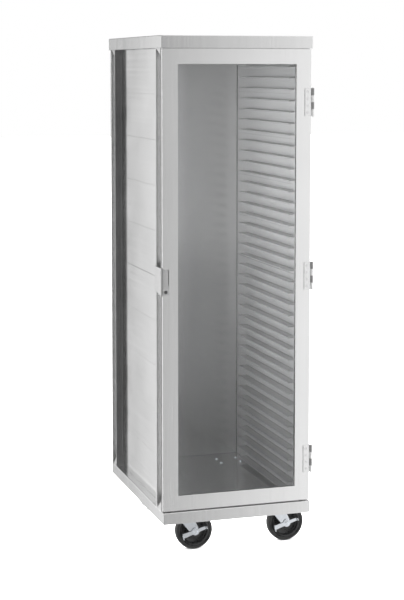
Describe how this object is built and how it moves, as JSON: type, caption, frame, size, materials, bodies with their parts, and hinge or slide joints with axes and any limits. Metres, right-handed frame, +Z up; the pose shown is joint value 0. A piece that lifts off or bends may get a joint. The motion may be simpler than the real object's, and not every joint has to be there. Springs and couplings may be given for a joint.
{
  "type": "enclosed pan cabinet",
  "caption": "Tall enclosed aluminium pan cabinet on swivel casters, with a full-height clear-windowed door and pan ledges on both side walls.",
  "frame": {"origin": "on the floor under the middle of the cabinet's bounding box", "axes": "+X to the right seen from the door, +Y to the back, +Z up"},
  "size_m": [0.5306, 0.704, 1.722],
  "materials": {
    "sheet_aluminium": "brushed",
    "plank_aluminium": "extruded, satin",
    "door_aluminium": "brushed",
    "clear_pane": "clear",
    "black_rubber": "matt",
    "hinge_steel": "satin",
    "latch_zinc": "satin",
    "lock_metal": "satin",
    "caster_zinc": "bright zinc",
    "core_plastic": "moulded",
    "tyre_rubber": "smooth"
  },
  "bodies": {
    "cabinet": {"base_tray": "sheet_aluminium", "caster_channels": "sheet_aluminium", "top_cap": "sheet_aluminium", "front_post_left": "sheet_aluminium", "front_post_right": "sheet_aluminium", "rear_post_left": "sheet_aluminium", "rear_post_right": "sheet_aluminium", "header": "sheet_aluminium", "door_sill": "sheet_aluminium", "top_rails": "sheet_aluminium", "back_panel": "sheet_aluminium", "corner_gussets": "sheet_aluminium", "wall_rivets": "sheet_aluminium", "left_planks_lower": "plank_aluminium", "left_planks_upper": "plank_aluminium", "right_planks_lower": "plank_aluminium", "right_planks_upper": "plank_aluminium", "hinge_post_leaves": "hinge_steel", "hinge_pins": "hinge_steel", "hinge_post_screws": "hinge_steel", "strike_housing": "latch_zinc", "caster_bolts": "caster_zinc", "caster_plate_front_left": "caster_zinc", "caster_plate_front_right": "caster_zinc", "caster_plate_rear_left": "caster_zinc", "caster_plate_rear_right": "caster_zinc"},
    "door": {"door_outer_frame": "door_aluminium", "door_inner_frame": "door_aluminium", "window_pane": "clear_pane", "window_seal": "black_rubber", "door_gasket": "black_rubber", "hinge_door_leaves": "hinge_steel", "hinge_door_screws": "hinge_steel", "latch_body": "latch_zinc", "latch_handle_pin": "hinge_steel"},
    "pull_handle": {"latch_handle": "latch_zinc"},
    "lock": {"lock_cylinder": "lock_metal"},
    "bolt": {"lock_bolt": "hinge_steel"},
    "fork_front_left": {"caster_fork_front_left": "caster_zinc", "caster_axle_front_left": "caster_zinc"},
    "wheel_front_left": {"caster_wheel_core_front_left": "core_plastic", "caster_tyre_front_left": "tyre_rubber"},
    "fork_front_right": {"caster_fork_front_right": "caster_zinc", "caster_axle_front_right": "caster_zinc"},
    "wheel_front_right": {"caster_wheel_core_front_right": "core_plastic", "caster_tyre_front_right": "tyre_rubber"},
    "fork_rear_left": {"caster_fork_rear_left": "caster_zinc", "caster_axle_rear_left": "caster_zinc"},
    "wheel_rear_left": {"caster_wheel_core_rear_left": "core_plastic", "caster_tyre_rear_left": "tyre_rubber"},
    "fork_rear_right": {"caster_fork_rear_right": "caster_zinc", "caster_axle_rear_right": "caster_zinc"},
    "wheel_rear_right": {"caster_wheel_core_rear_right": "core_plastic", "caster_tyre_rear_right": "tyre_rubber"},
    "brake_front_left": {"brake_lever_front_left": "caster_zinc"},
    "brake_front_right": {"brake_lever_front_right": "caster_zinc"}
  },
  "joints": [
    {"name": "door_hinge", "type": "hinge", "parent": "cabinet", "child": "door", "pos_m": [0.26125, -0.34725, 0.925], "axis": [0, 0, 1], "range_deg": [0, 270]},
    {"name": "pull_handle_pivot", "type": "hinge", "parent": "door", "child": "pull_handle", "pos_m": [-0.2401, -0.3402, 0.935], "axis": [0, 0, 1], "range_deg": [0, 30], "stiffness_Nm_per_rad": 0.05},
    {"name": "lock_turn", "type": "hinge", "parent": "door", "child": "lock", "pos_m": [-0.246, -0.34, 0.89], "axis": [0, 1, 0], "range_deg": [0, 90]},
    {"name": "lock_bolt_slide", "type": "slide", "parent": "door", "child": "bolt", "axis": [-1, 0, 0], "range_m": [0, 0.0053]},
    {"name": "swivel_front_left", "type": "hinge", "parent": "cabinet", "child": "fork_front_left", "pos_m": [-0.1635, -0.246, 0.14], "axis": [0, 0, 1], "continuous": true},
    {"name": "roll_front_left", "type": "hinge", "parent": "fork_front_left", "child": "wheel_front_left", "pos_m": [-0.1225, -0.246, 0.0635], "axis": [0, 1, 0], "continuous": true},
    {"name": "swivel_front_right", "type": "hinge", "parent": "cabinet", "child": "fork_front_right", "pos_m": [0.1635, -0.246, 0.14], "axis": [0, 0, 1], "continuous": true},
    {"name": "roll_front_right", "type": "hinge", "parent": "fork_front_right", "child": "wheel_front_right", "pos_m": [0.2045, -0.246, 0.0635], "axis": [0, 1, 0], "continuous": true},
    {"name": "swivel_rear_left", "type": "hinge", "parent": "cabinet", "child": "fork_rear_left", "pos_m": [-0.1635, 0.24, 0.14], "axis": [0, 0, 1], "continuous": true},
    {"name": "roll_rear_left", "type": "hinge", "parent": "fork_rear_left", "child": "wheel_rear_left", "pos_m": [-0.1225, 0.24, 0.0635], "axis": [0, 1, 0], "continuous": true},
    {"name": "swivel_rear_right", "type": "hinge", "parent": "cabinet", "child": "fork_rear_right", "pos_m": [0.1635, 0.24, 0.14], "axis": [0, 0, 1], "continuous": true},
    {"name": "roll_rear_right", "type": "hinge", "parent": "fork_rear_right", "child": "wheel_rear_right", "pos_m": [0.2045, 0.24, 0.0635], "axis": [0, 1, 0], "continuous": true},
    {"name": "brake_front_left_pivot", "type": "hinge", "parent": "fork_front_left", "child": "brake_front_left", "pos_m": [-0.1225, -0.246, 0.0635], "axis": [0, 1, 0], "range_deg": [-18, 0]},
    {"name": "brake_front_right_pivot", "type": "hinge", "parent": "fork_front_right", "child": "brake_front_right", "pos_m": [0.2045, -0.246, 0.0635], "axis": [0, 1, 0], "range_deg": [-18, 0]}
  ],
  "couplings": [
    {"joint": "lock_bolt_slide", "follows": "lock_turn", "m_per_rad": 0.002546}
  ]
}
